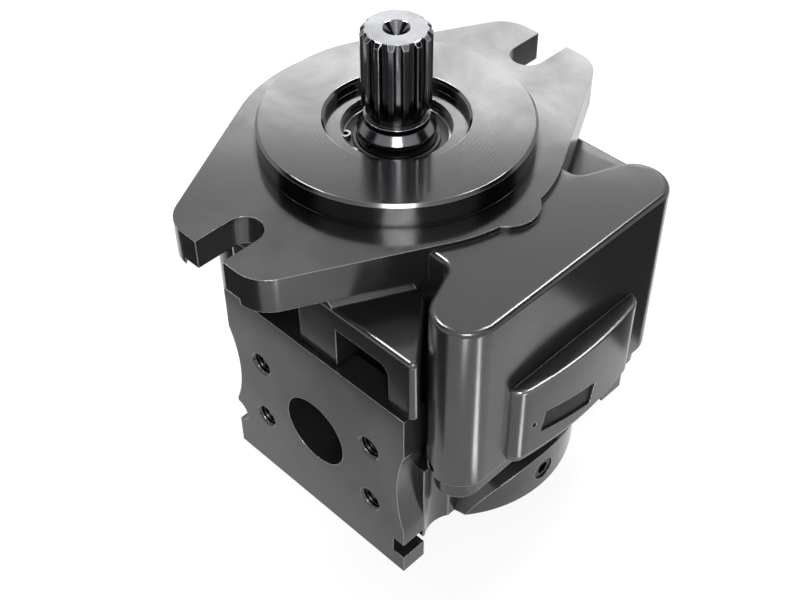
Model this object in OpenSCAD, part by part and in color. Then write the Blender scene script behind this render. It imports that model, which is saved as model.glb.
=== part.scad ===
// Axial piston pump with a two-bolt flange, a splined shaft and two side ports.
// The origin is where the shaft axis meets the flange face, +Z runs out along the shaft.

/* [Mounting flange] */
// Diameter of the mounting pilot
pilot_d = 101.6; // [100:0.2:103]
// Height of the pilot above the flange face
pilot_h = 9.4; // [8.6:0.2:10]
// Thickness of the flange
flange_t = 12; // [11:0.5:13]
// Depth of the cast side of the flange, outside the spot faces
flange_edge = 14.5; // [14:0.25:16]
// Radius of the spot face under each mounting slot
spot_r = 20.5; // [18:0.5:21]
// Distance of the web under the flange from the shaft axis
web_off = 54.2; // [53:0.2:56]
// Distance between the centres of the two slots
slot_span = 146.05; // [144:0.05:148]
// Width of the mounting slots
slot_w = 14.3; // [13:0.1:15]

/* [Drive shaft] */
// Outer diameter of the drive spline
spline_d = 25.4; // [25:0.1:25.8]
// Number of spline teeth
spline_teeth = 15; // [13:1:17]
// Height of the shaft end above the flange face
shaft_h = 45.6; // [42:0.2:48]
// Diameter of the seal journal
journal_d = 29; // [28.6:0.1:29.4]

/* [Housing] */
// Thickness of the barrel wall
case_wall = 8; // [7.5:0.1:8.2]
// Radial room between the cylinder block and the case
cavity_gap = 3; // [2.6:0.1:3.4]
// Length of the housing under the flange face
housing_l = 78; // [77.6:0.1:78.4]
// Distance of the front wall from the shaft axis
front_wall = 89; // [88:0.5:90]
// Radius of the rounding along the cast top edges
cast_round = 2; // [1:0.25:2.5]
// Top of the side shelves under the flange face
shelf_top = 23; // [22:0.5:24]
// Depth of the shelf over the outlet side below the flange face
shelf_top_out = 21.4; // [20.5:0.1:22.5]
// Depth of the ledge of the front boss
boss_ledge = 40; // [38:0.5:44]

/* [Ports] */
// Distance of the inlet face from the shaft axis
inlet_x = 65; // [64:0.5:66]
// Distance of the outlet face from the shaft axis
outlet_x = 70; // [69:0.5:71]
// Bore of the inlet port
inlet_d = 30.4; // [28:0.2:31]
// Bore of the outlet port
outlet_d = 25.4; // [23:0.2:26]
// Long bolt spacing at the inlet
inlet_long = 58.74; // [57:0.02:59.4]
// Short bolt spacing at the inlet
inlet_short = 30.18; // [30:0.02:31.4]
// Long bolt spacing at the outlet
outlet_long = 52.37; // [51:0.01:54]
// Short bolt spacing at the outlet
outlet_short = 26.19; // [26:0.01:27.4]
// Depth of both port centres under the flange face
port_depth = 94; // [93.5:0.1:94.5]

/* [End cover] */
// Bottom of the cover under the flange face
cover_bottom = 126.5; // [126:0.5:129]
// Bottom of the port plates under the flange face
plate_bottom = 138; // [136:0.5:140]
// Top of the port plates under the flange face
plate_top = 50.3; // [50.3:0.1:52]

/* [Rotating group] */
// Diameter of the pistons
piston_d = 16; // [15:0.2:16.2]
// Pitch radius of the pistons
pitch_r = 30; // [29.9:0.05:30.2]
// Outer diameter of the cylinder block
block_d = 82; // [80.4:0.2:82.6]
// Thickness of the valve plate
valve_t = 3.95; // [3.75:0.05:3.95]

/* [Swashplate] */
// Depth of the tilt axis under the flange face
tilt_depth = 43; // [42.9:0.05:43]
// Thickness of the plate behind its running face
plate_t = 7; // [6:0.25:7.5]
// Distance from the shaft to the arm ball
arm_reach = 59; // [58.6:0.1:59.4]

/* [Clearances] */
// Radial clearance of sliding and running fits
run_fit = 0.03; // [0.02:0.01:0.05]
// Radial clearance of screwed and pressed fits
set_fit = 0.02; // [0.01:0.01:0.03]
// Gap between faces that only stand beside each other
side_gap = 0.4; // [0.3:0.05:0.6]

/* [Hidden] */
$fn = 72;
cast = "#55585c";
machined = "#9a9da1";
bright = "#b9bcc0";
bronze = "#b08b4f";
black = "#2b2b2d";
rubber = "#1c1c1e";

// Flange outline
flange_r = 61;
corner_x = 74;
corner_y = 14;
corner_r = 14;
lobe_x = -1;
lobe_y = -53;
lobe_r = 12.5;

// Front bulge
bulge_x = -2.6;
neck_x = 33;
neck_y = -55.94;
neck_r = 5;
shoulder_a = 66.8;
column_x = 44;
column_y = 12 - front_wall;
column_r = 12;
bulge_top = -2;
boss_r = 165;
boss_tip = 6;
boss_half = 27.5;
boss_out = 7.6;

// Side shelves
box_x = inlet_x - 2;
box_x_out = outlet_x;
box_back = 24.3;
box_low = plate_top - side_gap;
window_top = shelf_top + 8.7;
web_x = box_x - 0.5;

// Barrel
slipper_room = 11;
cavity_r = max(block_d / 2, pitch_r + slipper_room) + cavity_gap;
barrel_r = cavity_r + case_wall;
dowel_at = cavity_r + 4;

// Port plates and cover
gasket_t = 0.5;
cover_top = housing_l + gasket_t;
ear_bottom = cover_top + 9.5;
plate_in = 54.2;
plate_out = 58.4;
plate_front = -67.3;
plate_back = 27.3;
port_y = -20.1;
cover_lobe_y = -30;
cover_lobe_r = 53;
screw_front = [[bulge_x - column_x, column_y], [bulge_x + column_x, column_y]];
screw_rear = [[-41, 41], [41, 41]];
screw_all = concat(screw_front, screw_rear);
screw_r = 4;
head_r = 6.5;
head_h = 5;

// Shaft and rotating group, depths under the flange face
seal_r = 20.5;
front_brg = [-14.5, 15, 14, 25, 18, 2.4, -1];
rear_brg = [-108, 14, 11, 21, 15, 2.2, 1];
collar_top = 22;
valve_top = 96.05;
valve_bottom = valve_top + valve_t;
block_top = 65.2;
block_bottom = 96;
spring_floor = 78;
tooth_w = 4.6;
teeth = 8;
inner_root = 12;
inner_tip = 14;
piston_r = piston_d / 2;
ball_z = tilt_depth + 6;
guide_z = ball_z + 4;
guide_r = 19;
saddle_r = 28.5;
journal_r = 27;
servo_r = 9;
ball_r = 6;
comp_y = 52;
comp_r = 5;
drain_z = housing_l - 20;

// Points along an arc about c, ends included
function arc_pts(c, r, a0, a1, n) =
    [for (i = [0:n]) c + r * [cos(a0 + (a1 - a0) * i / n), sin(a0 + (a1 - a0) * i / n)]];

// Quarter-round levels for the top edge of a casting: depth below the top, inset
function round_levels(r, n) = [for (i = [0:n]) [r * (1 - sin(90 * i / n)), r * (1 - cos(90 * i / n))]];

// Solid through outlines of the same number of points, lowest first
module stack(levels) {
    n = len(levels[0][1]);
    top = len(levels) - 1;
    polyhedron(
        points = [for (l = levels) for (p = l[1]) [p[0], p[1], l[0]]],
        faces = concat(
            [[for (i = [0:n - 1]) i]],
            [[for (i = [0:n - 1]) top * n + (n - i) % n]],
            [for (k = [0:top - 1]) for (i = [0:n - 1])
                [k * n + i, (k + 1) * n + i, (k + 1) * n + (i + 1) % n, k * n + (i + 1) % n]]));
}

// Outline of the web under the flange, its slanted sides at distance off from the shaft axis
function web_outline(off) = concat(
    arc_pts([0, 0], off, flange_a, 180 - flange_a, 12),
    [for (q = [[-1, 1], [-1, -1]]) [q[0] * web_x, q[1] * (off - web_x * cos(flange_a)) / sin(flange_a)]],
    arc_pts([0, 0], off, 180 + flange_a, 360 - flange_a, 12),
    [for (q = [[1, -1], [1, 1]]) [q[0] * web_x, q[1] * (off - web_x * cos(flange_a)) / sin(flange_a)]]);

// Outline of the front bulge, drawn in by d, its first point in sight of all others
function bulge_outline(d) = concat(
    [[bulge_x, -50], [bulge_x - neck_x + d, -20]],
    arc_pts([bulge_x - neck_x - neck_r, neck_y], neck_r + d, 0, -shoulder_a, 4),
    arc_pts([bulge_x - column_x, column_y], column_r - d, 180 - shoulder_a, 270, 12),
    arc_pts([bulge_x + column_x, column_y], column_r - d, -90, shoulder_a, 12),
    arc_pts([bulge_x + neck_x + neck_r, neck_y], neck_r + d, 180 + shoulder_a, 180, 4),
    [[bulge_x + neck_x - d, -20]]);

// Outline of the boss on the front wall
boss_c = [bulge_x, boss_r - front_wall - boss_out];
boss_a = asin(boss_half / (boss_r - boss_tip));
boss_tip_y = boss_c[1] - (boss_r - boss_tip) * cos(boss_a);
function boss_outline(d) = concat(
    [[bulge_x - boss_half - boss_tip + d, -80]],
    arc_pts([bulge_x - boss_half, boss_tip_y], boss_tip - d, 180, 270 - boss_a, 5),
    arc_pts(boss_c, boss_r - d, 270 - boss_a + 0.5, 270 + boss_a - 0.5, 14),
    arc_pts([bulge_x + boss_half, boss_tip_y], boss_tip - d, 270 + boss_a, 360, 5),
    [[bulge_x + boss_half + boss_tip - d, -80]]);

// Outline of a side shelf whose face stands at x = -face
function box_outline(face, d) = let (a = -49.6, n = [cos(a), sin(a)], r = 2.6,
    q = n * [6 - face, -67.4] - r, cx = r - face, cy = (q - n[0] * cx) / n[1],
    e = [cx, cy] + r * n + (face - 33) * [-n[1], n[0]]) concat(
    [[-20, box_back - d]],
    arc_pts([4 - face, box_back - 4], 4 - d, 90, 180, 5),
    arc_pts([cx, cy], r - d, 180, 360 + a, 6),
    [e - d * n, [-20, e[1] + 4]]);

// Bar of radius r from point a to point b
module rod(a, b, r) {
    v = b - a;
    translate(a) rotate([0, acos(v[2] / norm(v)), atan2(v[1], v[0])]) cylinder(r = r, h = norm(v));
}

// Ring sector with round ends, from angle a0 to a1
module kidney(r, half, a0, a1, h) {
    n = ceil((a1 - a0) / 6);
    linear_extrude(h) polygon(concat(
        arc_pts([0, 0], r + half, a0, a1, n),
        arc_pts(r * [cos(a1), sin(a1)], half, a1 + 22.5, a1 + 157.5, 6),
        arc_pts([0, 0], r - half, a1, a0, n),
        arc_pts(r * [cos(a0), sin(a0)], half, a0 + 202.5, a0 + 337.5, 6)));
}

// Helical wire spring standing on z = 0
module coil(r, wire, h, turns) {
    steps = turns * 16;
    sides = 6;
    rise = (h - 2 * wire) / steps;
    pts = [for (s = [0:steps]) for (k = [0:sides - 1])
        let (a = s * 360 / 16, b = k * 360 / sides, q = r + wire * cos(b))
        [q * cos(a), q * sin(a), wire + s * rise + wire * sin(b)]];
    polyhedron(points = pts, faces = concat(
        [[for (k = [0:sides - 1]) k]],
        [[for (k = [0:sides - 1]) steps * sides + sides - 1 - k]],
        [for (s = [0:steps - 1]) for (k = [0:sides - 1])
            [s * sides + k, (s + 1) * sides + k, (s + 1) * sides + (k + 1) % sides]],
        [for (s = [0:steps - 1]) for (k = [0:sides - 1])
            [s * sides + k, (s + 1) * sides + (k + 1) % sides, s * sides + (k + 1) % sides]]));
}

// Socket for a hexagon key across the flats
module hex_socket(flats, h) {
    cylinder(d = flats / cos(30), h = h, $fn = 6);
}

// Tangent hull of the round flange and its four corner circles
flange_g = norm([corner_x, corner_y]);
flange_a = atan2(corner_y, corner_x) + acos((flange_r - corner_r) / flange_g);
function flange_quarter(sx, sy) = let (c = [sx * corner_x, sy * corner_y],
    a = atan2(sy * sin(flange_a), sx * cos(flange_a)), e = sx > 0 ? 0 : 180 * sign(sy))
    arc_pts(c, corner_r, sx * sy > 0 ? e : a, sx * sy > 0 ? a : e, 10);

module flange_outline() {
    polygon(concat(
        flange_quarter(1, 1),
        arc_pts([0, 0], flange_r, flange_a, 180 - flange_a, 16),
        flange_quarter(-1, 1),
        flange_quarter(-1, -1),
        arc_pts([0, 0], flange_r, 180 + flange_a, 360 - flange_a, 16),
        flange_quarter(1, -1)));
    translate([lobe_x, lobe_y]) circle(r = lobe_r);
}

// Straight-sided spline section of the shaft, grown by g for its sockets
module inner_spline(g) {
    circle(r = inner_root + g);
    intersection() {
        circle(r = inner_tip + g);
        for (i = [0:teeth / 2 - 1]) rotate(i * 360 / teeth) square([40, tooth_w + 2 * g], center = true);
    }
}

// Outer walls of one side shelf with its two open windows
module side_shelf(face, top) {
    difference() {
        stack(concat([[-box_low, box_outline(face, 0)]],
            [for (l = round_levels(cast_round, 3)) [-top - l[0], box_outline(face, l[1])]]));
        intersection() {
            translate([0, 0, -box_low - 1]) linear_extrude(box_low + 4 - window_top)
                polygon([[-face - 5, -58.1], [9 - face, -58.1], [27 - face, -42.8], [30 - face, -32.4],
                    [-face - 5, -32.4]]);
            translate([-face - 4, 0, -window_top - 5]) rotate([0, 90, 0]) linear_extrude(60)
                polygon(concat([[40, -10], [-5, -10]], arc_pts([0, -53.1], 5, 180, 270, 6), [[40, -58.1]]));
        }
        translate([-face - 5, -13.5, -box_low - 1]) cube([60, 30, box_low + 1 - window_top]);
    }
}

module housing() {
    color(cast) difference() {
        union() {
            rotate_extrude() polygon([[0, -3], [pilot_d / 2, -3], [pilot_d / 2, pilot_h - 1.07],
                [pilot_d / 2 - 1.07, pilot_h], [0, pilot_h]]);
            translate([0, 0, -flange_edge]) linear_extrude(flange_edge) flange_outline();
            stack([[-shelf_top - 3, web_outline(web_off + 2)], [0.4 - shelf_top, web_outline(web_off + 2)],
                [1.6 - shelf_top, web_outline(web_off + 0.6)], [2.8 - shelf_top, web_outline(web_off)],
                [0.5 - flange_edge, web_outline(web_off)]]);
            translate([0, 0, -housing_l]) cylinder(r = barrel_r, h = housing_l - 5);
            stack(concat([[-housing_l, bulge_outline(0)]],
                [for (l = round_levels(cast_round, 4)) [bulge_top - l[0], bulge_outline(l[1])]]));
            stack([[-housing_l, boss_outline(1.5)], [3.2 - housing_l, boss_outline(1)],
                [3.6 - housing_l, boss_outline(0)], [-boss_ledge - 1, boss_outline(0)],
                [-boss_ledge - 0.3, boss_outline(0.3)], [-boss_ledge, boss_outline(1)]]);
            side_shelf(box_x, shelf_top);
            mirror([1, 0, 0]) side_shelf(box_x_out, shelf_top_out);
            for (p = screw_rear) translate([p[0], p[1], -housing_l]) {
                cylinder(r = column_r, h = 36);
                translate([0, 0, 36]) cylinder(r1 = column_r, r2 = 3, h = 12);
            }
            translate([0, 38, -drain_z]) rotate([-90, 0, 0]) cylinder(r = 14, h = 20);
        }
        // Slots of the mounting flange, spot faces under them
        for (s = [-1, 1]) {
            translate([s * slot_span / 2, 0, -flange_edge - 1]) cylinder(d = slot_w, h = flange_edge + 2);
            translate([s * (slot_span / 2 + 15), 0, -flange_edge / 2])
                cube([30, slot_w, flange_edge + 2], center = true);
            intersection() {
                translate([s * slot_span / 2, 0, -flange_edge - 0.5])
                    cylinder(r = spot_r, h = flange_edge - flange_t + 0.5);
                translate([s * (web_x + 30.1), 0, -flange_edge]) cube([60, 50, 12], center = true);
            }
        }
        // Recess, seal bore, bearing bore and case cavity
        rotate_extrude() polygon([[0, 20], [37.9, 20], [26.3, pilot_h - 1], [26.3, 5], [seal_r, 5],
            [seal_r, 1.25], [22, 1.25], [22, -0.45], [seal_r, -0.45], [seal_r, -7], [front_brg[3], -7],
            [front_brg[3], -22], [cavity_r, -22], [cavity_r, -housing_l - 1], [0, -housing_l - 1]]);
        // Saddles for the swashplate journals
        intersection() {
            for (s = [-1, 1]) translate([s * 37, 0, -tilt_depth]) rotate([0, 90, 0])
                cylinder(r = saddle_r, h = 15, center = true);
            translate([0, 0, -60]) cylinder(r = cavity_r - 0.6, h = 50);
        }
        // Room for the swashplate arm, bore of the bias piston
        translate([bulge_x - 24, -79, -housing_l - 1]) cube([48, 50, housing_l + 1 - 34]);
        translate([bulge_x, -arm_reach, -36]) cylinder(r = servo_r, h = 28);
        // Screw and dowel holes of the cover joint
        for (p = screw_all) translate([p[0], p[1], -housing_l - 1]) cylinder(r = screw_r + set_fit, h = 25);
        for (a = [60, 120]) rotate([0, 0, a]) translate([dowel_at, 0, -housing_l - 1])
            cylinder(r = 2.5 + set_fit, h = 8);
        // Bare recess on the boss, small drilled marks, drain hole
        difference() {
            translate([bulge_x - 8, -100, -63.5]) rotate([0, 10.5, 0]) cube([27, 30, 10], center = true);
            translate([boss_c[0], boss_c[1], -100]) cylinder(r = boss_r - 0.8, h = 80, $fn = 180);
        }
        translate([-28, -88, -60]) rotate([90, 0, 0]) cylinder(r = 1, h = 12);
        translate([-52.5, -73.5, -74.5]) rotate([0, -90, 0]) cylinder(r = 2, h = 12);
        translate([0, 30, -drain_z]) rotate([-90, 0, 0]) cylinder(r = 9 + set_fit, h = 40);
    }
}

// Side view of a port plate in Y and Z
module plate_profile() {
    difference() {
        translate([plate_front, -plate_bottom]) square([plate_back - plate_front, plate_bottom - plate_top]);
        translate([-133.7, -91.5]) circle(r = 70);
        translate([plate_front - 4, -129.4]) square([9.6, 8]);
        translate([plate_back + 46.6, -91]) circle(r = 51);
        translate([plate_back + 0.4, -119]) circle(r = 5.5);
    }
}

module port_plate(face, inner) {
    translate([-face, 0, 0]) rotate([90, 0, 90]) linear_extrude(face - inner) plate_profile();
}

// Threaded holes around a port, each with its mouth chamfer
module port_holes(face, long, short) {
    for (sy = [-1, 1], sz = [-1, 1])
        translate([-face, port_y + sy * long / 2, -port_depth + sz * short / 2]) rotate([0, 90, 0]) {
            translate([0, 0, -1]) cylinder(r = 4.3, h = 11.2);
            translate([0, 0, -0.01]) cylinder(r1 = 5.2, r2 = 4.3, h = 0.9);
        }
}

module end_cover() {
    color(cast) difference() {
        union() {
            translate([0, 0, -ear_bottom]) linear_extrude(ear_bottom - cover_top) polygon(bulge_outline(3));
            translate([0, 0, -cover_bottom]) cylinder(r = barrel_r, h = cover_bottom - cover_top);
            translate([-plate_in, -60, -100]) cube([plate_in + plate_out, 83, 99 - cover_top]);
            translate([-plate_in, -67, -cover_bottom])
                cube([plate_in + plate_out, 91, cover_bottom - ear_bottom + 1]);
            translate([bulge_x, cover_lobe_y, -cover_bottom]) cylinder(r = 44, h = cover_bottom - ear_bottom + 1);
            intersection() {
                translate([0, 0, -cover_bottom]) cylinder(r = 62, h = cover_bottom - ear_bottom + 1);
                translate([-50, 0, -150]) cube([100, 70, 100]);
            }
            for (p = screw_rear) translate([p[0], p[1], -ear_bottom]) cylinder(r = 11, h = ear_bottom - cover_top);
            intersection() {
                translate([0, 0, -cover_bottom]) translate([bulge_x, cover_lobe_y, 0])
                    cylinder(r = cover_lobe_r, h = 30);
                translate([bulge_x, -84, -140]) rotate([-90, 0, 0]) cylinder(r1 = 33, r2 = 39, h = 30);
            }
            port_plate(inlet_x, plate_in - 0.3);
            mirror([1, 0, 0]) port_plate(outlet_x, plate_out - 1);
        }
        // Cavity with valve plate seat, rear bearing bore and shaft end room
        translate([0, 0, -valve_bottom]) cylinder(r = cavity_r, h = valve_bottom - cover_top + 1);
        translate([0, 0, -115.1]) cylinder(r = rear_brg[3], h = 30);
        translate([0, 0, -119]) cylinder(r = 14, h = 10);
        // Kidneys and inclined passages to both ports
        translate([0, 0, -113]) kidney(pitch_r, 4, 135, 225, 20);
        translate([0, 0, -113]) kidney(pitch_r, 4, -45, 45, 20);
        rod([-50, port_y, -103], [-30, -7, -112], 6.5);
        rod([51, port_y, -102.5], [30, -7, -112], 6.2);
        translate([-inlet_x - 1, port_y, -port_depth]) rotate([0, 90, 0])
            cylinder(d = inlet_d, h = inlet_x + 1 - 46.5);
        translate([46.5, port_y, -port_depth]) rotate([0, 90, 0]) cylinder(d = outlet_d, h = outlet_x);
        port_holes(inlet_x, inlet_long, inlet_short);
        mirror([1, 0, 0]) port_holes(outlet_x, outlet_long, outlet_short);
        // Room under the ears, clearance holes and sunk seats of the cover screws
        for (p = screw_front) translate([p[0], p[1], -plate_bottom]) cylinder(r = 12, h = plate_bottom - ear_bottom);
        for (p = screw_rear) translate([p[0], p[1], -plate_bottom]) cylinder(r = 11.7, h = plate_bottom - ear_bottom);
        for (p = screw_all) translate([p[0], p[1], -ear_bottom - 1]) {
            cylinder(r = screw_r + 0.4, h = 20);
            cylinder(r = head_r + 0.4, h = head_h + 1.3);
        }
        for (a = [60, 120]) rotate([0, 0, a]) translate([dowel_at, 0, -cover_top - 6])
            cylinder(r = 2.5 + set_fit, h = 8);
        rotate([0, 0, 90]) translate([37.5, 0, -104]) cylinder(r = 2 + set_fit, h = 8);
        // Servo bore, gallery and plug thread
        translate([bulge_x, -arm_reach, -98]) cylinder(r = 11.5 + set_fit, h = 103.5 - cover_top);
        translate([bulge_x, -arm_reach, -119]) cylinder(r = 2.5, h = 25);
        translate([bulge_x, -arm_reach, -117]) rotate([90, 0, 0]) cylinder(r = 2.5, h = 40);
        translate([bulge_x, -90, -117]) rotate([-90, 0, 0]) cylinder(r = 5 + set_fit, h = 16);
        // Compensator bore
        translate([0, comp_y, -cover_bottom - 1]) cylinder(r = comp_r, h = cover_bottom + 1 - 89.5);
        translate([0, comp_y, -cover_bottom - 1]) cylinder(r = 7.5 + set_fit, h = cover_bottom + 1 - 116);
    }
}

module cover_gasket() {
    color(black) translate([0, 0, -cover_top]) linear_extrude(gasket_t) difference() {
        union() {
            circle(r = barrel_r - 1);
            polygon(bulge_outline(4));
            for (p = screw_rear) translate(p) circle(r = 10);
        }
        circle(r = cavity_r + 0.5);
        translate([bulge_x - 24, -79]) square([48, 40]);
        for (p = screw_all) translate(p) circle(r = screw_r + 0.5);
        for (a = [60, 120]) rotate(a) translate([dowel_at, 0]) circle(r = 2.5 + 0.2);
    }
}

module cover_screws() {
    color(black) for (p = screw_all) translate([p[0], p[1], 0]) difference() {
        union() {
            translate([0, 0, -ear_bottom + 0.3]) cylinder(r = head_r, h = head_h);
            translate([0, 0, -ear_bottom + 0.3 + head_h - 0.1]) cylinder(r = screw_r, h = 28);
        }
        translate([0, 0, -ear_bottom]) hex_socket(5, 3);
    }
}

module cover_dowels() {
    color(bright) for (a = [60, 120]) rotate([0, 0, a]) translate([dowel_at, 0, -cover_top - 5.5])
        cylinder(r = 2.5, h = 12);
}

module shaft() {
    r = spline_d / 2;
    root = r - 1.8;
    step = 360 / spline_teeth;
    jr = journal_d / 2;
    color(machined) difference() {
        union() {
            intersection() {
                translate([0, 0, 15.5]) linear_extrude(shaft_h - 15.5) {
                    circle(r = root);
                    for (i = [0:spline_teeth - 1]) rotate(i * step) polygon([
                        [root - 1, -2], for (k = [-1, 1]) each [for (j = (k < 0) ? [0, 1, 2] : [2, 1, 0])
                            let (q = [root - 0.2, r - 0.9, r][j], a = k * step * [0.325, 0.25, 0.165][j])
                            [q * cos(a), q * sin(a)]],
                        [root - 1, 2]]);
                }
                translate([0, 0, 15]) rotate_extrude() polygon([[0, 0], [r + 2, 0], [r + 2, shaft_h - 18.1],
                    [r, shaft_h - 16.6], [r - 1.6, shaft_h - 15], [0, shaft_h - 15]]);
            }
            rotate_extrude() polygon([[0, 16], [root, 16], [root, 11], [12, 11], [12, 8.5], [jr, 5.75],
                [jr, -6.5], [front_brg[2], -7], [front_brg[2], -collar_top], [16.5, -collar_top],
                [16.5, -27], [inner_tip - 0.2, -27], [inner_tip - 0.2, -44], [inner_root - 0.5, -45],
                [inner_root - 0.5, -96.5], [rear_brg[2], -97], [rear_brg[2], -115.5],
                [rear_brg[2] - 1, -116.5], [0, -116.5]]);
            translate([0, 0, -97]) linear_extrude(52.5) inner_spline(0);
        }
        translate([0, 0, shaft_h - 4]) cylinder(r1 = 1.2, r2 = 5, h = 4.1);
        translate([0, 0, shaft_h - 9]) cylinder(r = 1.2, h = 9);
    }
}

module shaft_seal() {
    jr = journal_d / 2 + run_fit;
    so = seal_r - set_fit;
    color(rubber) rotate_extrude() polygon([[so, -6.5], [so, -0.5], [16.2, -0.5], [15.9, 0.6],
        [jr + 0.3, 0.6], [jr, -0.5], [15.6, -2], [15.4, -3.6], [jr, -4.3], [15.9, -5.3], [16.5, -4.6],
        [17, -2], [18.8, -2], [18.8, -6.5]]);
}

module seal_circlip() {
    color(bright) translate([0, 0, -0.4]) linear_extrude(1.6) rotate(151) difference() {
        union() {
            difference() {
                circle(r = 21.9);
                circle(r = 18.9);
                polygon([[0, 0], [40, 9], [40, -9]]);
            }
            for (s = [-1, 1]) rotate(s * 17) translate([18.7, 0]) circle(r = 2.1);
        }
        for (s = [-1, 1]) rotate(s * 17) translate([18.5, 0]) circle(r = 1.1);
    }
}

// Tapered roller bearing, b = [centre z, width, bore radius, outer radius, rollers, roller radius, side]
brg_tilt = 12;
brg_cone = 2;
function brg_rm(b) = (b[2] + b[3]) / 2;
function brg_out(b, z) = brg_rm(b) + b[5] * cos(brg_tilt)
    + tan(brg_tilt + brg_cone) * (z + b[5] * sin(brg_tilt)) + run_fit;
function brg_in(b, z) = brg_rm(b) - b[5] * cos(brg_tilt)
    + tan(brg_tilt - brg_cone) * (z - b[5] * sin(brg_tilt)) - run_fit;
function brg_len(b) = b[1] - 5;

module brg_place(b) {
    translate([0, 0, b[0]]) mirror([0, 0, b[6] < 0 ? 1 : 0]) children();
}

module brg_cup(b) {
    h = b[1] / 2;
    color(bright) brg_place(b) rotate_extrude() polygon([[b[3] - set_fit, -h], [b[3] - set_fit, h],
        [brg_out(b, h), h], [brg_out(b, -h), -h]]);
}

module brg_inner(b) {
    h = b[1] / 2;
    e = brg_len(b) / 2 * cos(brg_tilt) + 1;
    i = b[2] + set_fit;
    color(bright) brg_place(b) rotate_extrude() polygon([[i, -h], [brg_in(b, -h), -h], [brg_in(b, e), e],
        [brg_in(b, e) + 1.4, e], [brg_in(b, e) + 1.4, h], [i, h]]);
}

module brg_roller(b, g) {
    l = brg_len(b) + 2 * g;
    for (k = [0:b[4] - 1]) rotate([0, 0, k * 360 / b[4]]) translate([brg_rm(b), 0, 0])
        rotate([0, brg_tilt, 0]) cylinder(h = l, r1 = b[5] - l / 2 * tan(brg_cone) + g,
            r2 = b[5] + l / 2 * tan(brg_cone) + g, center = true);
}

module brg_rollers(b) {
    color(bright) brg_place(b) brg_roller(b, 0);
}

module brg_cage(b) {
    e = brg_len(b) / 2 + 1.3;
    t = brg_tilt;
    m = brg_rm(b) + 0.5;
    color(bronze) brg_place(b) difference() {
        rotate_extrude() polygon([
            [m - e * sin(t) - 0.6 * cos(t), -e * cos(t) + 0.6 * sin(t)],
            [m - e * sin(t) + 0.6 * cos(t), -e * cos(t) - 0.6 * sin(t)],
            [m + e * sin(t) + 0.6 * cos(t), e * cos(t) - 0.6 * sin(t)],
            [m + e * sin(t) - 0.6 * cos(t), e * cos(t) + 0.6 * sin(t)]]);
        brg_roller(b, 0.2);
    }
}

module front_bearing_cup() { brg_cup(front_brg); }
module front_bearing_cone() { brg_inner(front_brg); }
module front_bearing_rollers() { brg_rollers(front_brg); }
module front_bearing_cage() { brg_cage(front_brg); }
module rear_bearing_cup() { brg_cup(rear_brg); }
module rear_bearing_cone() { brg_inner(rear_brg); }
module rear_bearing_rollers() { brg_rollers(rear_brg); }
module rear_bearing_cage() { brg_cage(rear_brg); }

module bearing_spacer() {
    color(bright) translate([0, 0, -100.95]) difference() {
        cylinder(r = 13.5, h = 3.9);
        translate([0, 0, -1]) cylinder(r = rear_brg[2] + set_fit, h = 6);
    }
}

module swashplate() {
    color(machined) difference() {
        union() {
            translate([0, 0, -tilt_depth]) cylinder(r = 42, h = plate_t);
            intersection() {
                for (s = [-1, 1]) translate([s * 36.6, 0, -tilt_depth]) rotate([0, 90, 0])
                    cylinder(r = journal_r - run_fit, h = 12.6, center = true);
                translate([0, 0, -tilt_depth]) cylinder(r = 40.6, h = 40);
            }
            translate([bulge_x - 8, -47, -tilt_depth]) cube([16, 12, plate_t]);
            translate([bulge_x - 5, -arm_reach + 3, -tilt_depth - 3]) cube([10, arm_reach - 48, 6]);
            translate([bulge_x, -arm_reach, -tilt_depth]) sphere(r = ball_r);
        }
        translate([0, 0, -tilt_depth - 1]) cylinder(r = 20.5, h = 30);
    }
}

module cradle_bearings() {
    color(bronze) intersection() {
        for (s = [-1, 1]) translate([s * 36.5, 0, -tilt_depth]) rotate([0, 90, 0]) difference() {
            cylinder(r = saddle_r - set_fit, h = 12, center = true);
            cylinder(r = journal_r, h = 14, center = true);
        }
        translate([0, 0, -23.4]) cylinder(r = cavity_r - 0.8, h = 20);
    }
}

module cylinder_block() {
    step = 360 / 9;
    l = block_bottom - block_top;
    color(machined) translate([0, 0, -block_bottom]) difference() {
        rotate_extrude() polygon([[0, 0], [block_d / 2 - 1, 0], [block_d / 2, 1], [block_d / 2, l - 2],
            [block_d / 2 - 2, l], [0, l]]);
        for (i = [0:8]) rotate([0, 0, i * step]) {
            translate([pitch_r, 0, 4]) cylinder(r = piston_r + run_fit, h = 40);
            translate([0, 0, -1]) kidney(pitch_r, 3.4, -6, 6, 8);
        }
        translate([0, 0, block_bottom - spring_floor]) cylinder(r = 17.5, h = 20);
        translate([0, 0, -1]) linear_extrude(25) inner_spline(0.05);
    }
}

module pistons() {
    color(bright) for (i = [0:8]) rotate([0, 0, i * 40]) translate([pitch_r, 0, 0]) difference() {
        union() {
            translate([0, 0, -ball_z]) sphere(r = ball_r);
            translate([0, 0, -ball_z - 7]) cylinder(r = 4, h = 5);
            translate([0, 0, -ball_z - 30]) cylinder(r = piston_r, h = 22);
            translate([0, 0, -ball_z - 8.01]) cylinder(r1 = piston_r, r2 = 5, h = 2);
        }
        translate([0, 0, -ball_z - 31]) cylinder(r = 4.6, h = 17);
        translate([0, 0, -ball_z - 15]) cylinder(r = 0.9, h = 30);
    }
}

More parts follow.
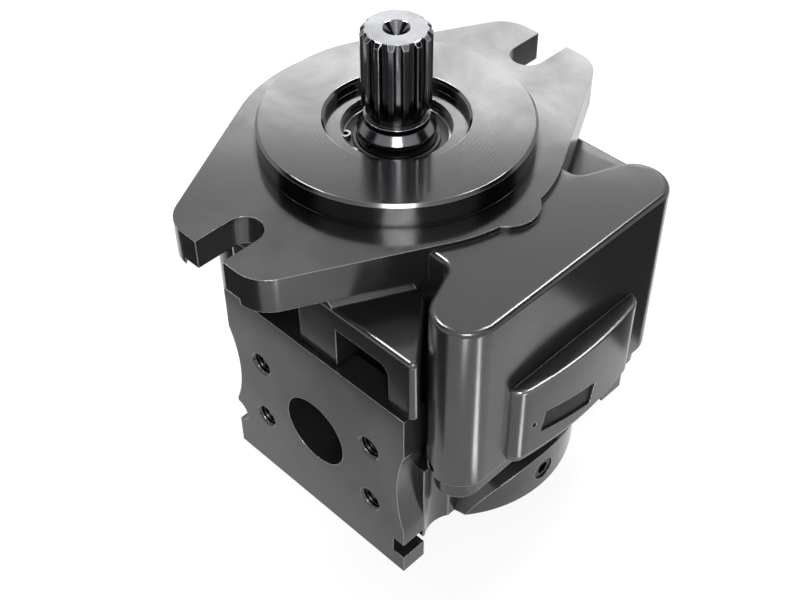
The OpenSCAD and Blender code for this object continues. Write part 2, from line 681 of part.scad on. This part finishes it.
module slippers() {
    color(bronze) for (i = [0:8]) rotate([0, 0, i * 40]) translate([pitch_r, 0, 0]) difference() {
        union() {
            translate([0, 0, -tilt_depth - 3]) cylinder(r = 10.15, h = 2.95);
            translate([0, 0, -ball_z - 3.5]) cylinder(r = 8.2, h = 8);
        }
        translate([0, 0, -ball_z]) sphere(r = ball_r + run_fit);
        translate([0, 0, -ball_z]) cylinder(r = 0.9, h = 10);
        translate([0, 0, -tilt_depth - 0.8]) cylinder(r = 5, h = 1);
    }
}

module retainer_plate() {
    color(machined) difference() {
        translate([0, 0, -ball_z]) cylinder(r = 40.4, h = 2.95);
        for (i = [0:8]) rotate([0, 0, i * 40]) translate([pitch_r, 0, -ball_z - 1]) cylinder(r = 8.6, h = 6);
        translate([0, 0, -tilt_depth]) sphere(r = guide_r + run_fit);
    }
}

module ball_guide() {
    color(bronze) difference() {
        intersection() {
            translate([0, 0, -tilt_depth]) sphere(r = guide_r);
            translate([0, 0, -guide_z]) cylinder(r = guide_r + 1, h = 6.8);
        }
        translate([0, 0, -guide_z - 1]) linear_extrude(10) inner_spline(0.05);
    }
}

module block_spring() {
    color(bright) translate([0, 0, -76.78]) coil(15.75, 1.25, 76.7 - guide_z, 4);
}

module spring_seat() {
    color(bright) translate([0, 0, -77.98]) difference() {
        cylinder(r = 17.3, h = 1.15);
        translate([0, 0, -1]) cylinder(r = inner_tip + 0.15, h = 4);
    }
}

module valve_plate() {
    color(bronze) translate([0, 0, -valve_bottom]) difference() {
        cylinder(r = block_d / 2 + 0.5, h = valve_t);
        translate([0, 0, -1]) cylinder(r = 14.5, h = 10);
        translate([0, 0, -1]) kidney(pitch_r, 3.6, 135, 225, 8);
        for (a = [-38, -12, 14]) translate([0, 0, -1]) kidney(pitch_r, 3.6, a, a + 24 - 0.5, 8);
        rotate([0, 0, 90]) translate([37.5, 0, -1]) cylinder(r = 2 + set_fit, h = 8);
    }
}

module valve_plate_pin() {
    color(bright) rotate([0, 0, 90]) translate([37.5, 0, -103.9]) cylinder(r = 2, h = 7);
}

module control_sleeve() {
    color(bright) translate([bulge_x, -arm_reach, -97.9]) difference() {
        cylinder(r = 11.5, h = 31.9);
        translate([0, 0, -1]) cylinder(r = servo_r, h = 40);
    }
}

module control_piston() {
    color(bright) translate([bulge_x, -arm_reach, -80]) difference() {
        cylinder(r = servo_r - run_fit, h = 31 + 43 - tilt_depth);
        translate([0, 0, -1]) cylinder(r = 5, h = 18);
        for (z = [6, 12]) translate([0, 0, z]) rotate_extrude()
            translate([servo_r - 0.8, 0]) square([2, 1.6]);
    }
}

module bias_piston() {
    color(bright) translate([bulge_x, -arm_reach, 0]) difference() {
        translate([0, 0, -tilt_depth + ball_r + 0.01]) cylinder(r = servo_r - run_fit, h = tilt_depth - 16.5);
        translate([0, 0, -33 + 43 - tilt_depth]) cylinder(r = 7.6, h = 40);
    }
}

module bias_spring() {
    low = -33 + 43 - tilt_depth;
    color(bright) translate([bulge_x, -arm_reach, low]) coil(6.2, 1, -8.02 - low, 6);
}

module gallery_plug() {
    color(black) translate([bulge_x, -82.4, -117]) rotate([-90, 0, 0]) difference() {
        cylinder(r = 5, h = 8);
        translate([0, 0, -0.1]) hex_socket(5, 4.5);
    }
}

module compensator_spool() {
    color(bright) translate([0, comp_y, -103.9]) difference() {
        cylinder(r = comp_r - run_fit, h = 13.9);
        for (z = [3, 8.6]) translate([0, 0, z]) rotate_extrude() translate([3, 0]) square([4, 2.6]);
    }
}

module compensator_spring() {
    color(bright) translate([0, comp_y, -116]) coil(3.6, 0.7, 12.08, 5);
}

module compensator_plug() {
    color(black) translate([0, comp_y, -cover_bottom]) difference() {
        cylinder(r = 7.5, h = cover_bottom - 116.02);
        translate([0, 0, -0.1]) hex_socket(6, 5);
    }
}

module case_drain_plug() {
    color(black) translate([0, 58.02, -drain_z]) rotate([-90, 0, 0]) difference() {
        union() {
            cylinder(r = 12, h = 3);
            translate([0, 0, -11]) cylinder(r = 9, h = 12);
        }
        translate([0, 0, -3]) hex_socket(8, 7);
    }
}

housing();
end_cover();
cover_gasket();
cover_screws();
cover_dowels();
shaft();
shaft_seal();
seal_circlip();
front_bearing_cup();
front_bearing_cone();
front_bearing_rollers();
front_bearing_cage();
rear_bearing_cup();
rear_bearing_cone();
rear_bearing_rollers();
rear_bearing_cage();
bearing_spacer();
swashplate();
cradle_bearings();
cylinder_block();
pistons();
slippers();
retainer_plate();
ball_guide();
block_spring();
spring_seat();
valve_plate();
valve_plate_pin();
control_sleeve();
control_piston();
bias_piston();
bias_spring();
gallery_plug();
compensator_spool();
compensator_spring();
compensator_plug();
case_drain_plug();
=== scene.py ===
import math

import bpy
from mathutils import Matrix, Vector


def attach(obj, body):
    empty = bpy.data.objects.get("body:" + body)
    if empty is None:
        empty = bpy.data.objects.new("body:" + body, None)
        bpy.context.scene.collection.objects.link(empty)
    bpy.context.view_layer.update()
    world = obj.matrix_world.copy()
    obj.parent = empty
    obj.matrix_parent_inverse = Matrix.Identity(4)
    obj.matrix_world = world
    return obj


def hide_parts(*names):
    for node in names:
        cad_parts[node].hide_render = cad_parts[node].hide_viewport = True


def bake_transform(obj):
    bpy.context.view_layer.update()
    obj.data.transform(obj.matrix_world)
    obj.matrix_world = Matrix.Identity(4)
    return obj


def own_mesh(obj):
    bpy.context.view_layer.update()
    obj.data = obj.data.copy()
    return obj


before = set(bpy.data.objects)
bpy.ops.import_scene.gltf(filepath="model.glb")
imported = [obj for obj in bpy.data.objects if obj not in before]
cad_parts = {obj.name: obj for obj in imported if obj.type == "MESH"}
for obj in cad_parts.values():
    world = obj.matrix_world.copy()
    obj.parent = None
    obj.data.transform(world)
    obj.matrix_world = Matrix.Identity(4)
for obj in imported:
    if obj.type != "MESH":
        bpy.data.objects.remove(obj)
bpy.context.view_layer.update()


# Housing: one grey iron sand casting with the two-bolt flange, the control bulge, the two shelves
# and their windows. It is blasted, phosphated black and oiled. The flange face and the pilot are
# turned afterwards. Its rounded edges are painted bright, partly as wear from handling and partly
# as a painted highlight.
def linear(code):
    """Turns an sRGB hex colour into Blender's linear colour."""
    parts = [int(code[i : i + 2], 16) / 255 for i in (0, 2, 4)]
    return [c / 12.92 if c <= 0.04045 else ((c + 0.055) / 1.055) ** 2.4 for c in parts] + [1.0]


def add(tree, kind, fields=None, inputs=None):
    """Adds one node to a tree, sets its fields and fills or wires its inputs."""
    node = tree.nodes.new(kind)
    for name, value in (fields or {}).items():
        setattr(node, name, value)
    for name, value in (inputs or {}).items():
        if isinstance(value, bpy.types.NodeSocket):
            tree.links.new(value, node.inputs[name])
        else:
            node.inputs[name].default_value = value
    return node


mm = 0.001


def per(size):
    """Gives a texture's scale for a pattern whose marks are size millimetres apart."""
    return 1 / (size * mm)


wave_apart = math.pi / 10  # how far apart the crests of a wave texture are at a scale of 1


def metal(name, dark, light, rough, stain_and_reflection_mm, grain_mm, grain_deep, bare=1.0, crevice=0.6,
          edge=0.0, edge_code="c8c8c6", round_mm=0.55, rings=0.0, thread=0.0):
    """A worked metal. Its stains, partly painted reflections of a clouded sky, run from dark to
    light, stain_and_reflection_mm across, and its gloss with them.

    grain_mm and grain_deep are the spacing and depth of its surface grain. rings is the spacing of
    the tool marks on top of it, and thread that of the thread crests in place of it. bare is how
    little film covers the metal, and crevice how dark its inner corners are made as painted shade.
    edge is how far its outer edges are lightened towards edge_code, as rubbed wear and painted
    highlight, and round_mm the radius at which they catch the light.
    """
    made = bpy.data.materials.new(name)
    made.use_nodes = True
    tree = made.node_tree
    tree.nodes.clear()
    place = add(tree, "ShaderNodeTexCoord").outputs["Object"]

    # Stains and painted reflection: soft clouds of colour, partly stains and partly painted
    # reflections of a clouded sky, where the lighter ones are a little glossier too.
    stain_and_reflection = add(tree, "ShaderNodeTexNoise", None, {
        "Vector": place, "Scale": per(stain_and_reflection_mm), "Detail": 4.0, "Roughness": 0.55,
        "Distortion": 0.4})
    stain_and_reflection_mask = add(tree, "ShaderNodeMapRange", None, {
        "Value": stain_and_reflection.outputs["Fac"], "From Min": 0.34, "From Max": 0.66})
    tone = add(tree, "ShaderNodeMix", {"data_type": "RGBA"}, {
        0: stain_and_reflection_mask.outputs["Result"], 6: linear(dark), 7: linear(light)})
    swing = 0.04
    gloss = add(tree, "ShaderNodeMapRange", None, {
        "Value": stain_and_reflection.outputs["Fac"], "From Min": 0.3, "From Max": 0.7,
        "To Min": rough + swing, "To Max": rough - swing})

    # Relief: the grain of the surface, with the rings or the thread that a tool left in it.
    grain = add(tree, "ShaderNodeTexNoise", None, {
        "Vector": place, "Scale": per(grain_mm), "Detail": 3.0, "Roughness": 0.6})
    height = grain.outputs["Fac"]
    if rings:
        ring = add(tree, "ShaderNodeTexWave", {"wave_type": "RINGS", "rings_direction": "Z"}, {
            "Vector": place, "Scale": per(rings) * wave_apart, "Distortion": 0.0})
        height = add(tree, "ShaderNodeMath", {"operation": "ADD"}, {
            0: height, 1: ring.outputs["Fac"]}).outputs[0]
    if thread:
        flank = add(tree, "ShaderNodeTexWave", {
            "wave_type": "BANDS", "bands_direction": "X", "wave_profile": "TRI"}, {
            "Vector": place, "Scale": per(thread) * wave_apart, "Distortion": 0.0})
        height = flank.outputs["Fac"]
    soft = add(tree, "ShaderNodeBevel", {"samples": 4}, {"Radius": round_mm * mm})
    bump = add(tree, "ShaderNodeBump", None, {
        "Height": height, "Strength": 0.6, "Distance": grain_deep * mm,
        "Normal": soft.outputs["Normal"]})

    # Painted shade: inner corners, where other faces stand close round them, are darkened towards
    # near black as shade would fall there.
    reach = 2.5 * mm
    near = add(tree, "ShaderNodeAmbientOcclusion", {"samples": 6}, {"Distance": reach})
    painted_corner_shade = add(tree, "ShaderNodeMapRange", None, {
        "Value": near.outputs["AO"], "From Min": 0.45, "From Max": 0.9,
        "To Min": crevice, "To Max": 0.0})
    corner_shaded_colour = add(tree, "ShaderNodeMix", {"data_type": "RGBA"}, {
        0: painted_corner_shade.outputs["Result"], 6: tone.outputs[2], 7: linear("0c0c0c")})
    colour = corner_shaded_colour.outputs[2]

    # Wear and painted highlight: outer edges are lightened towards edge_code, partly as rubbed wear
    # and partly as a painted highlight. An edge is where the rounded normal leaves the face's own,
    # and only where it is proud.
    if edge:
        flat = add(tree, "ShaderNodeNewGeometry").outputs["True Normal"]
        bend = add(tree, "ShaderNodeVectorMath", {"operation": "DOT_PRODUCT"}, {
            0: soft.outputs["Normal"], 1: flat})
        wear_and_highlight_mask = add(tree, "ShaderNodeMapRange", None, {
            "Value": bend.outputs["Value"], "From Min": 0.975, "From Max": 0.84,
            "To Min": 0.0, "To Max": edge})
        proud = add(tree, "ShaderNodeMapRange", None, {
            "Value": near.outputs["AO"], "From Min": 0.86, "From Max": 0.97})
        wear_and_highlight_mask = add(tree, "ShaderNodeMath", {"operation": "MULTIPLY"}, {
            0: wear_and_highlight_mask.outputs["Result"], 1: proud.outputs["Result"]})
        wear_and_highlight_mix = add(tree, "ShaderNodeMix", {"data_type": "RGBA"}, {
            0: wear_and_highlight_mask.outputs[0], 6: colour, 7: linear(edge_code)})
        colour = wear_and_highlight_mix.outputs[2]

    skin = add(tree, "ShaderNodeBsdfPrincipled", None, {
        "Base Color": colour, "Metallic": bare, "Roughness": gloss.outputs["Result"],
        "Normal": bump.outputs["Normal"]})
    add(tree, "ShaderNodeOutputMaterial", None, {"Surface": skin.outputs["BSDF"]})
    return made


def rounded_shading(gentle_angle):
    """Geometry nodes that shade edges flatter than gentle_angle smooth and leave the rest crisp."""
    tree = bpy.data.node_groups.new("machined_edges", "GeometryNodeTree")
    tree.interface.new_socket("Geometry", in_out="INPUT", socket_type="NodeSocketGeometry")
    tree.interface.new_socket("Geometry", in_out="OUTPUT", socket_type="NodeSocketGeometry")
    start = add(tree, "NodeGroupInput")
    angle = add(tree, "GeometryNodeInputMeshEdgeAngle")
    gentle = add(tree, "FunctionNodeCompare", {"data_type": "FLOAT", "operation": "LESS_THAN"}, {
        0: angle.outputs["Unsigned Angle"], 1: gentle_angle})
    faces = add(tree, "GeometryNodeSetShadeSmooth", {"domain": "FACE"}, {
        "Geometry": start.outputs[0], "Shade Smooth": True})
    edges = add(tree, "GeometryNodeSetShadeSmooth", {"domain": "EDGE"}, {
        "Geometry": faces.outputs[0], "Shade Smooth": gentle.outputs["Result"]})
    add(tree, "NodeGroupOutput", None, {0: edges.outputs[0]})
    return tree


shading = rounded_shading(math.radians(32))


def dress(name, *finishes):
    """Gives a CAD node its finishes, and shades its cylinders and fillets as smooth forms."""
    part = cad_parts[name]
    part.data.materials.clear()
    for finish in finishes:
        part.data.materials.append(finish)
    if "custom_normal" in part.data.attributes:
        part.data.attributes.remove(part.data.attributes["custom_normal"])
    weld = part.modifiers.new("weld", "WELD")
    weld.merge_threshold = 0.001 * mm
    smooth = part.modifiers.new("edges", "NODES")
    smooth.node_group = shading
    normals = part.modifiers.new("normals", "WEIGHTED_NORMAL")
    normals.mode = "FACE_AREA"
    normals.keep_sharp = True
    return part


def finish_faces(part, index, here):
    """Gives the faces for which here(centre, normal) is true, in millimetres, finish index."""
    for face in part.data.polygons:
        if here(face.center / mm, face.normal):
            face.material_index = index


square = 0.98  # a face is square to an axis when its normal has this much of it


def on_turned_faces(centre, normal):
    """The flange face, at height 0, and the whole pilot that stands on it."""
    flange_face = normal.z > square and centre.z > -0.2
    pilot_reach = 60
    return flange_face or (centre.z > 0.2 and math.hypot(centre.x, centre.y) < pilot_reach)


def on_recess_floor(centre, normal):
    """The floor of the bare recess in the boss, which follows the arc of the boss's face."""
    arc_x, arc_y, arc_radius = -2.6, 68.4, 164.2
    off_arc = math.hypot(centre.x - arc_x, centre.y - arc_y) - arc_radius
    return abs(off_arc) < 0.12 and -72 < centre.z < -55


# The phosphate on the blasted skin gives a dark, even, neutral sheen. Its edges are painted in
# bright lines, partly as wear rubbed through it and partly as a painted highlight.
cast_iron = metal("phosphated_cast_iron", "484848", "525252", rough=0.19, stain_and_reflection_mm=26,
                  grain_mm=0.9, grain_deep=0.012, bare=0.85, edge=0.7, edge_code="d8d8d6")
# Turned iron is lighter and glossier, with round marks of the tool. The real ones are about
# 0.2 mm apart, too fine to show, so they are drawn 1.5 mm apart.
turned_iron = metal("turned_flange_iron", "545454", "6a6a6a", rough=0.14, stain_and_reflection_mm=34,
                    grain_mm=0.35, grain_deep=0.003, edge=0.7, round_mm=0.2, rings=1.5)
# The floor of the recess is coloured nearly black, matt and grainy, darker than the iron round it.
rough_iron = metal("dark_recess_iron", "1c1d1e", "2a2b2c", rough=0.48, stain_and_reflection_mm=9,
                   grain_mm=0.8, grain_deep=0.06)
housing = dress("housing", cast_iron, turned_iron, rough_iron)
finish_faces(housing, 1, on_turned_faces)
finish_faces(housing, 2, on_recess_floor)


# Front bearing: a tapered roller bearing behind the shaft seal. Its cup, cone and eighteen rollers
# are through-hardened steel, ground and lapped. The cage between the rollers is pressed bronze.
# Ground steel is light grey and close to a mirror, with hardly any grain left.
ground_steel = metal("ground_bearing_steel", "8a8b8d", "9a9b9d", rough=0.16, stain_and_reflection_mm=14,
                     grain_mm=0.2, grain_deep=0.002, edge=0.3, edge_code="e4e4e4")
# Bearing bronze is a warm brown gold with a satin gloss. Its edges are painted yellower, as rubbed
# wear and painted highlight.
bronze = metal("bearing_bronze", "8f6a35", "a87c42", rough=0.3, stain_and_reflection_mm=8,
               grain_mm=0.4, grain_deep=0.006, edge=0.4, edge_code="d8b273")
for name in ("front_bearing_cup", "front_bearing_cone", "front_bearing_rollers"):
    dress(name, ground_steel)
dress("front_bearing_cage", bronze)


# Shaft: alloy steel, turned, splined by rolling, case hardened and ground on its seal track.
# Hardened steel is a shade darker and bluer than the bearings, and shines as brightly.
shaft_steel = metal("hardened_shaft_steel", "626366", "707174", rough=0.14, stain_and_reflection_mm=12,
                    grain_mm=0.3, grain_deep=0.004, edge=0.6, edge_code="e6e6e6")
dress("shaft", shaft_steel)


# Shaft seal and circlip: a moulded nitrile lip seal is pressed into the pilot bore and held by an
# internal circlip, which is stamped from spring strip and ground flat on both sides.
def elastomer(name, code, rough, grain_mm):
    """A moulded or pressed soft material with the fine texture of its mould."""
    made = bpy.data.materials.new(name)
    made.use_nodes = True
    tree = made.node_tree
    tree.nodes.clear()
    place = add(tree, "ShaderNodeTexCoord").outputs["Object"]
    grain = add(tree, "ShaderNodeTexNoise", None, {
        "Vector": place, "Scale": per(grain_mm), "Detail": 4.0})
    bloomed = [c * 1.7 for c in linear(code)[:3]] + [1.0]
    bloom = add(tree, "ShaderNodeMix", {"data_type": "RGBA"}, {
        0: grain.outputs["Fac"], 6: linear(code), 7: bloomed})
    bump = add(tree, "ShaderNodeBump", None, {
        "Height": grain.outputs["Fac"], "Strength": 0.4, "Distance": 0.02 * mm})
    skin = add(tree, "ShaderNodeBsdfPrincipled", None, {
        "Base Color": bloom.outputs[2], "Roughness": rough, "IOR": 1.52,
        "Normal": bump.outputs["Normal"]})
    add(tree, "ShaderNodeOutputMaterial", None, {"Surface": skin.outputs["BSDF"]})
    return made


# Nitrile rubber is matt black, with a faint grey bloom in the texture of its mould.
nitrile = elastomer("nitrile_rubber", "101112", rough=0.45, grain_mm=0.7)
dress("shaft_seal", nitrile)
dress("seal_circlip", ground_steel)


# Swashplate and cradle: a forged steel plate, ground flat where the slippers run, rocks in two
# bronze half shells that are pressed into the housing.
dress("swashplate", shaft_steel)
dress("cradle_bearings", bronze)


# Rotating group: a steel cylinder block with nine ground pistons. Each one carries a bronze
# slipper, and the retainer plate and the ball guide hold the slippers down under the block
# spring, which is wound from round wire and has closed ends.
for name in ("cylinder_block", "retainer_plate"):
    dress(name, shaft_steel)
for name in ("pistons", "spring_seat"):
    dress(name, ground_steel)
for name in ("slippers", "ball_guide"):
    dress(name, bronze)

# Oil-tempered wire is blue grey and satin, from the scale of its quench.
spring_steel = metal("oil_tempered_spring_steel", "3c4148", "565b61", rough=0.3, stain_and_reflection_mm=6,
                     grain_mm=0.5, grain_deep=0.006, edge=0.3, edge_code="9a9da0")


def wind(name, node, centre, radius, wire, foot, height, turns):
    """Winds a spring in place of a CAD node, in millimetres, its end turns closed up.

    radius is that of the coil and wire that of the wire; foot is the height it stands at.
    """
    steps, sides = turns * 36, 14
    points = []
    for step in range(steps + 1):
        share = step / steps
        closing = 0.25 * math.sin(2 * math.pi * share) / (2 * math.pi)
        lift = wire + (height - 2 * wire) * (share - closing)
        turn = 2 * math.pi * turns * share
        for side in range(sides):
            around = 2 * math.pi * side / sides
            out = radius + wire * math.cos(around)
            points.append([(centre[0] + out * math.cos(turn)) * mm,
                           (centre[1] + out * math.sin(turn)) * mm,
                           (foot + lift + wire * math.sin(around)) * mm])
    faces = []
    for step in range(steps):
        low, high = step * sides, (step + 1) * sides
        for side in range(sides):
            other = (side + 1) % sides
            faces.append([low + side, high + side, high + other, low + other])
    faces += [list(range(sides)), [steps * sides + side for side in reversed(range(sides))]]
    shape = bpy.data.meshes.new(name)
    shape.from_pydata(points, [], faces)
    shape.polygons.foreach_set("use_smooth", [len(face) == 4 for face in faces])
    shape.materials.append(spring_steel)
    spring = bpy.data.objects.new(name, shape)
    bpy.context.scene.collection.objects.link(spring)
    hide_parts(node)
    return spring


block_foot = -76.78
block_wire = wind("block_spring_wire", "block_spring", centre=(0, 0), radius=15.75, wire=1.25,
                  foot=block_foot, height=23.7, turns=4)
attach(block_wire, "rotor")
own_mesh(block_wire)


# Valve plate: a lapped bronze disc with the two kidney ports, kept from turning by a ground pin.
dress("valve_plate", bronze)
dress("valve_plate_pin", ground_steel)


# Stroke control: the control piston in its steel sleeve tilts the swashplate back, and the bias
# piston with its spring, in a bore of the housing, pushes it to full stroke. Both are ground.
for name in ("control_sleeve", "control_piston", "bias_piston"):
    dress(name, ground_steel)
bias_x, bias_y = -2.6, -59
bias_wire = wind("bias_spring_wire", "bias_spring", centre=(bias_x, bias_y), radius=6.2, wire=1,
                 foot=-33, height=24.98, turns=6)
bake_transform(bias_wire)


# End cover: a second iron casting in the same black phosphate, with the milled inlet and outlet
# faces. The port bolt holes are tapped M10. A fibre gasket seals its joint, two dowels place it
# and four black cap screws hold it on the housing.
def on_port_faces(centre, normal):
    """The two milled faces that the hoses' flanges seal on."""
    inlet_x, outlet_x = -64.2, 69.2
    return abs(normal.x) > square and (centre.x < inlet_x or centre.x > outlet_x)


def on_bolt_holes(side, half_high, half_wide):
    """Makes the test for the four tapped holes round one port, on the side -1 or 1 of x."""
    port_y, port_z, hole_reach, deepest_x = -20.1, -94, 4.4, 50

    def here(centre, normal):
        y, z = abs(centre.y - port_y) - half_high, abs(centre.z - port_z) - half_wide
        return (side * centre.x > deepest_x and abs(normal.x) < 0.3
                and math.hypot(y, z) < hole_reach)

    return here


# Milled iron under phosphate is the darkest of the cover's faces: flat and clouded, with its rims
# painted bright as wear and painted highlight.
milled_iron = metal("milled_port_iron", "363636", "444444", rough=0.17, stain_and_reflection_mm=40,
                    grain_mm=0.4, grain_deep=0.004, edge=0.6)
# Tapped iron catches the light in bands, one on each flank of the 1.5 mm thread.
tapped_iron = metal("tapped_iron", "484848", "585858", rough=0.24, stain_and_reflection_mm=6,
                    grain_mm=0.4, grain_deep=0.45, crevice=0.0, thread=1.5)
# Pressed fibre is a dull, dark grey green that shows as a thin line round the joint.
fibre = elastomer("pressed_fibre_gasket", "2a2c2a", rough=0.7, grain_mm=0.5)
# Black oxide is a satin blue black, painted grey on the rims of the sockets as wear and painted
# highlight.
black_steel = metal("black_oxide_steel", "232426", "303133", rough=0.34, stain_and_reflection_mm=5,
                    grain_mm=0.4, grain_deep=0.008, edge=0.45, edge_code="8a8a88")
end_cover = dress("end_cover", cast_iron, milled_iron, tapped_iron)
finish_faces(end_cover, 1, on_port_faces)
finish_faces(end_cover, 2, on_bolt_holes(-1, 58.74 / 2, 30.18 / 2))
finish_faces(end_cover, 2, on_bolt_holes(1, 52.37 / 2, 26.19 / 2))
dress("cover_gasket", fibre)
dress("cover_screws", black_steel)
dress("cover_dowels", ground_steel)


# Rear bearing: a smaller tapered roller bearing in the end cover, with fifteen ground rollers in
# a bronze cage, and a ground spacer between its cone and the shaft's shoulder.
for name in ("rear_bearing_cup", "rear_bearing_cone", "rear_bearing_rollers", "bearing_spacer"):
    dress(name, ground_steel)
dress("rear_bearing_cage", bronze)


# Compensator and plugs: the pressure spool slides in its bore against a spring, and three black
# steel screw plugs close the spool bore, the gallery and the case drain.
dress("compensator_spool", ground_steel)
spool_y, spool_foot = 52, -116
spool_wire = wind("compensator_spring_wire", "compensator_spring", centre=(0, spool_y),
                  radius=3.6, wire=0.7, foot=spool_foot, height=12.08, turns=5)
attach(spool_wire, "case")
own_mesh(spool_wire)
for name in ("compensator_plug", "gallery_plug", "case_drain_plug"):
    dress(name, black_steel)


# Floor and air: a white studio table in a white room. Rays from the camera and rays off the metal
# see both as plain white, and the table keeps a soft pale shadow under the pump.
def seen_rays(tree):
    """Gives 1 for rays that show the background: from the camera, off metal, through glass."""
    path = add(tree, "ShaderNodeLightPath")
    one = add(tree, "ShaderNodeMath", {"operation": "MAXIMUM"}, {
        0: path.outputs["Is Camera Ray"], 1: path.outputs["Is Glossy Ray"]})
    return add(tree, "ShaderNodeMath", {"operation": "MAXIMUM"}, {
        0: one.outputs[0], 1: path.outputs["Is Transmission Ray"]}).outputs[0]


half, floor_z = 3, -0.1385
floor_mesh = bpy.data.meshes.new("studio_floor")
floor_mesh.from_pydata([(-half, -half, floor_z), (half, -half, floor_z), (half, half, floor_z),
                        (-half, half, floor_z)], [], [(0, 1, 2, 3)])
floor = bpy.data.objects.new("studio_floor", floor_mesh)
bpy.context.scene.collection.objects.link(floor)
# White laminate is plain and without gloss, so nothing of the pump shows in it but its shadow.
table_white = bpy.data.materials.new("white_studio_laminate")
table_white.use_nodes = True
tree = table_white.node_tree
tree.nodes.clear()
matt = add(tree, "ShaderNodeBsdfDiffuse", None, {"Color": linear("e6e6e6")})
glow = add(tree, "ShaderNodeEmission", None, {"Color": (1, 1, 1, 1), "Strength": 0.85})
faint = add(tree, "ShaderNodeBsdfDiffuse", None, {"Color": linear("6c6c6c")})
both = add(tree, "ShaderNodeAddShader", None, {0: glow.outputs[0], 1: faint.outputs[0]})
shown = add(tree, "ShaderNodeMixShader", None, {
    0: seen_rays(tree), 1: matt.outputs[0], 2: both.outputs[0]})
add(tree, "ShaderNodeOutputMaterial", None, {"Surface": shown.outputs[0]})
floor_mesh.materials.append(table_white)

world = bpy.data.worlds.new("white_studio")
bpy.context.scene.world = world
world.use_nodes = True
tree = world.node_tree
tree.nodes.clear()
white = add(tree, "ShaderNodeBackground", None, {"Color": (1, 1, 1, 1), "Strength": 1.0})
fill = add(tree, "ShaderNodeBackground", None, {"Color": (1, 1, 1, 1), "Strength": 0.4})
air = add(tree, "ShaderNodeMixShader", None, {
    0: seen_rays(tree), 1: fill.outputs[0], 2: white.outputs[0]})
add(tree, "ShaderNodeOutputWorld", None, {"Surface": air.outputs[0]})


# Lamps: soft boxes set for this view of the pump. One behind on the right brightens the flange
# there, two high ones draw the light lines along the rounded edges, one in front fills the walls,
# and two low strips streak them. Each has its place, its aim, its size and its brightness.
lamps = (
    ("soft_box_back", (1.02, 0.86, 0.66), (0, 0, 0), 1.0, 0.56, 3.7),
    ("strip_high_right", (0.56, -0.05, 0.93), (0.02, -0.05, 0), 0.24, 0.36, 30.0),
    ("strip_high_left", (-0.05, 0.56, 0.93), (-0.05, 0.02, 0), 0.36, 0.24, 30.0),
    ("soft_box_front", (-0.7, -0.73, 0.95), (0, 0, 0), 0.45, 0.45, 20.0),
    ("low_strip_front", (-0.05, -0.22, -0.137), (-0.05, -0.22, 1), 0.02, 0.16, 8.0),
    ("low_strip_corner", (-0.16, -0.19, -0.137), (-0.16, -0.19, 1), 0.03, 0.06, 8.0),
)
for name, place, aim, wide, deep, bright in lamps:
    lamp = bpy.data.lights.new(name, "AREA")
    lamp.shape = "RECTANGLE"
    lamp.size, lamp.size_y = wide, deep
    lamp.energy = bright * math.pi * wide * deep
    stand = bpy.data.objects.new(name, lamp)
    stand.location = place
    stand.rotation_euler = (Vector(aim) - Vector(place)).to_track_quat("-Z", "Y").to_euler()
    stand.visible_camera = False
    bpy.context.scene.collection.objects.link(stand)


# Cards: black velvet on board, two upright beside the pump and two flat on the table. The metal
# mirrors them and gets its dark sides from them, and they touch nothing else: no camera sees
# them and they cast no shadow. Each has its place, the way it faces, and its size.
card_black = bpy.data.materials.new("black_velvet_card")
card_black.use_nodes = True
pile = card_black.node_tree.nodes["Principled BSDF"]
pile.inputs["Base Color"].default_value = linear("050505")
pile.inputs["Roughness"].default_value = 1.0
cards = (
    ("card_left", (-0.75, 0.75, 1.0), (-0.75, 0.75, 1.0), 0.9, 1.0),
    ("card_right", (0.75, -0.75, 1.0), (0.75, -0.75, 1.0), 0.9, 1.0),
    ("card_low_right", (0.188, -0.285, -0.136), (0, 0, 1), 0.184, 0.35),
    ("card_low_left", (-0.274, 0.16, -0.136), (0, 0, 1), 0.312, 0.44),
)
for name, place, facing, wide, deep in cards:
    tilt = Vector(facing).to_track_quat("Z", "Y").to_matrix()
    corners = [Vector(place) + tilt @ Vector((x * wide / 2, y * deep / 2, 0))
               for x, y in ((-1, -1), (1, -1), (1, 1), (-1, 1))]
    card_mesh = bpy.data.meshes.new(name)
    card_mesh.from_pydata([list(corner) for corner in corners], [], [(0, 1, 2, 3)])
    card_mesh.materials.append(card_black)
    card = bpy.data.objects.new(name, card_mesh)
    card.visible_camera = card.visible_diffuse = card.visible_shadow = False
    bpy.context.scene.collection.objects.link(card)


# Camera: stands where the photograph was taken from, above the inlet side and the control bulge.
# The matrix holds its right, up and back directions as columns, and then its place.
lens = bpy.data.cameras.new("photo_camera")
lens.sensor_width = 36
lens.lens = 58.41
lens.clip_start = 0.01
camera = bpy.data.objects.new("photo_camera", lens)
camera.matrix_world = Matrix((
    (0.7018, 0.4976, -0.5099, -0.26915),
    (-0.7124, 0.4881, -0.5043, -0.26756),
    (-0.0020, 0.7171, 0.6970, 0.28571),
    (0, 0, 0, 1),
))
bpy.context.scene.collection.objects.link(camera)
bpy.context.scene.camera = camera
bpy.context.scene.view_settings.view_transform = "Standard"

bpy.context.view_layer.update()
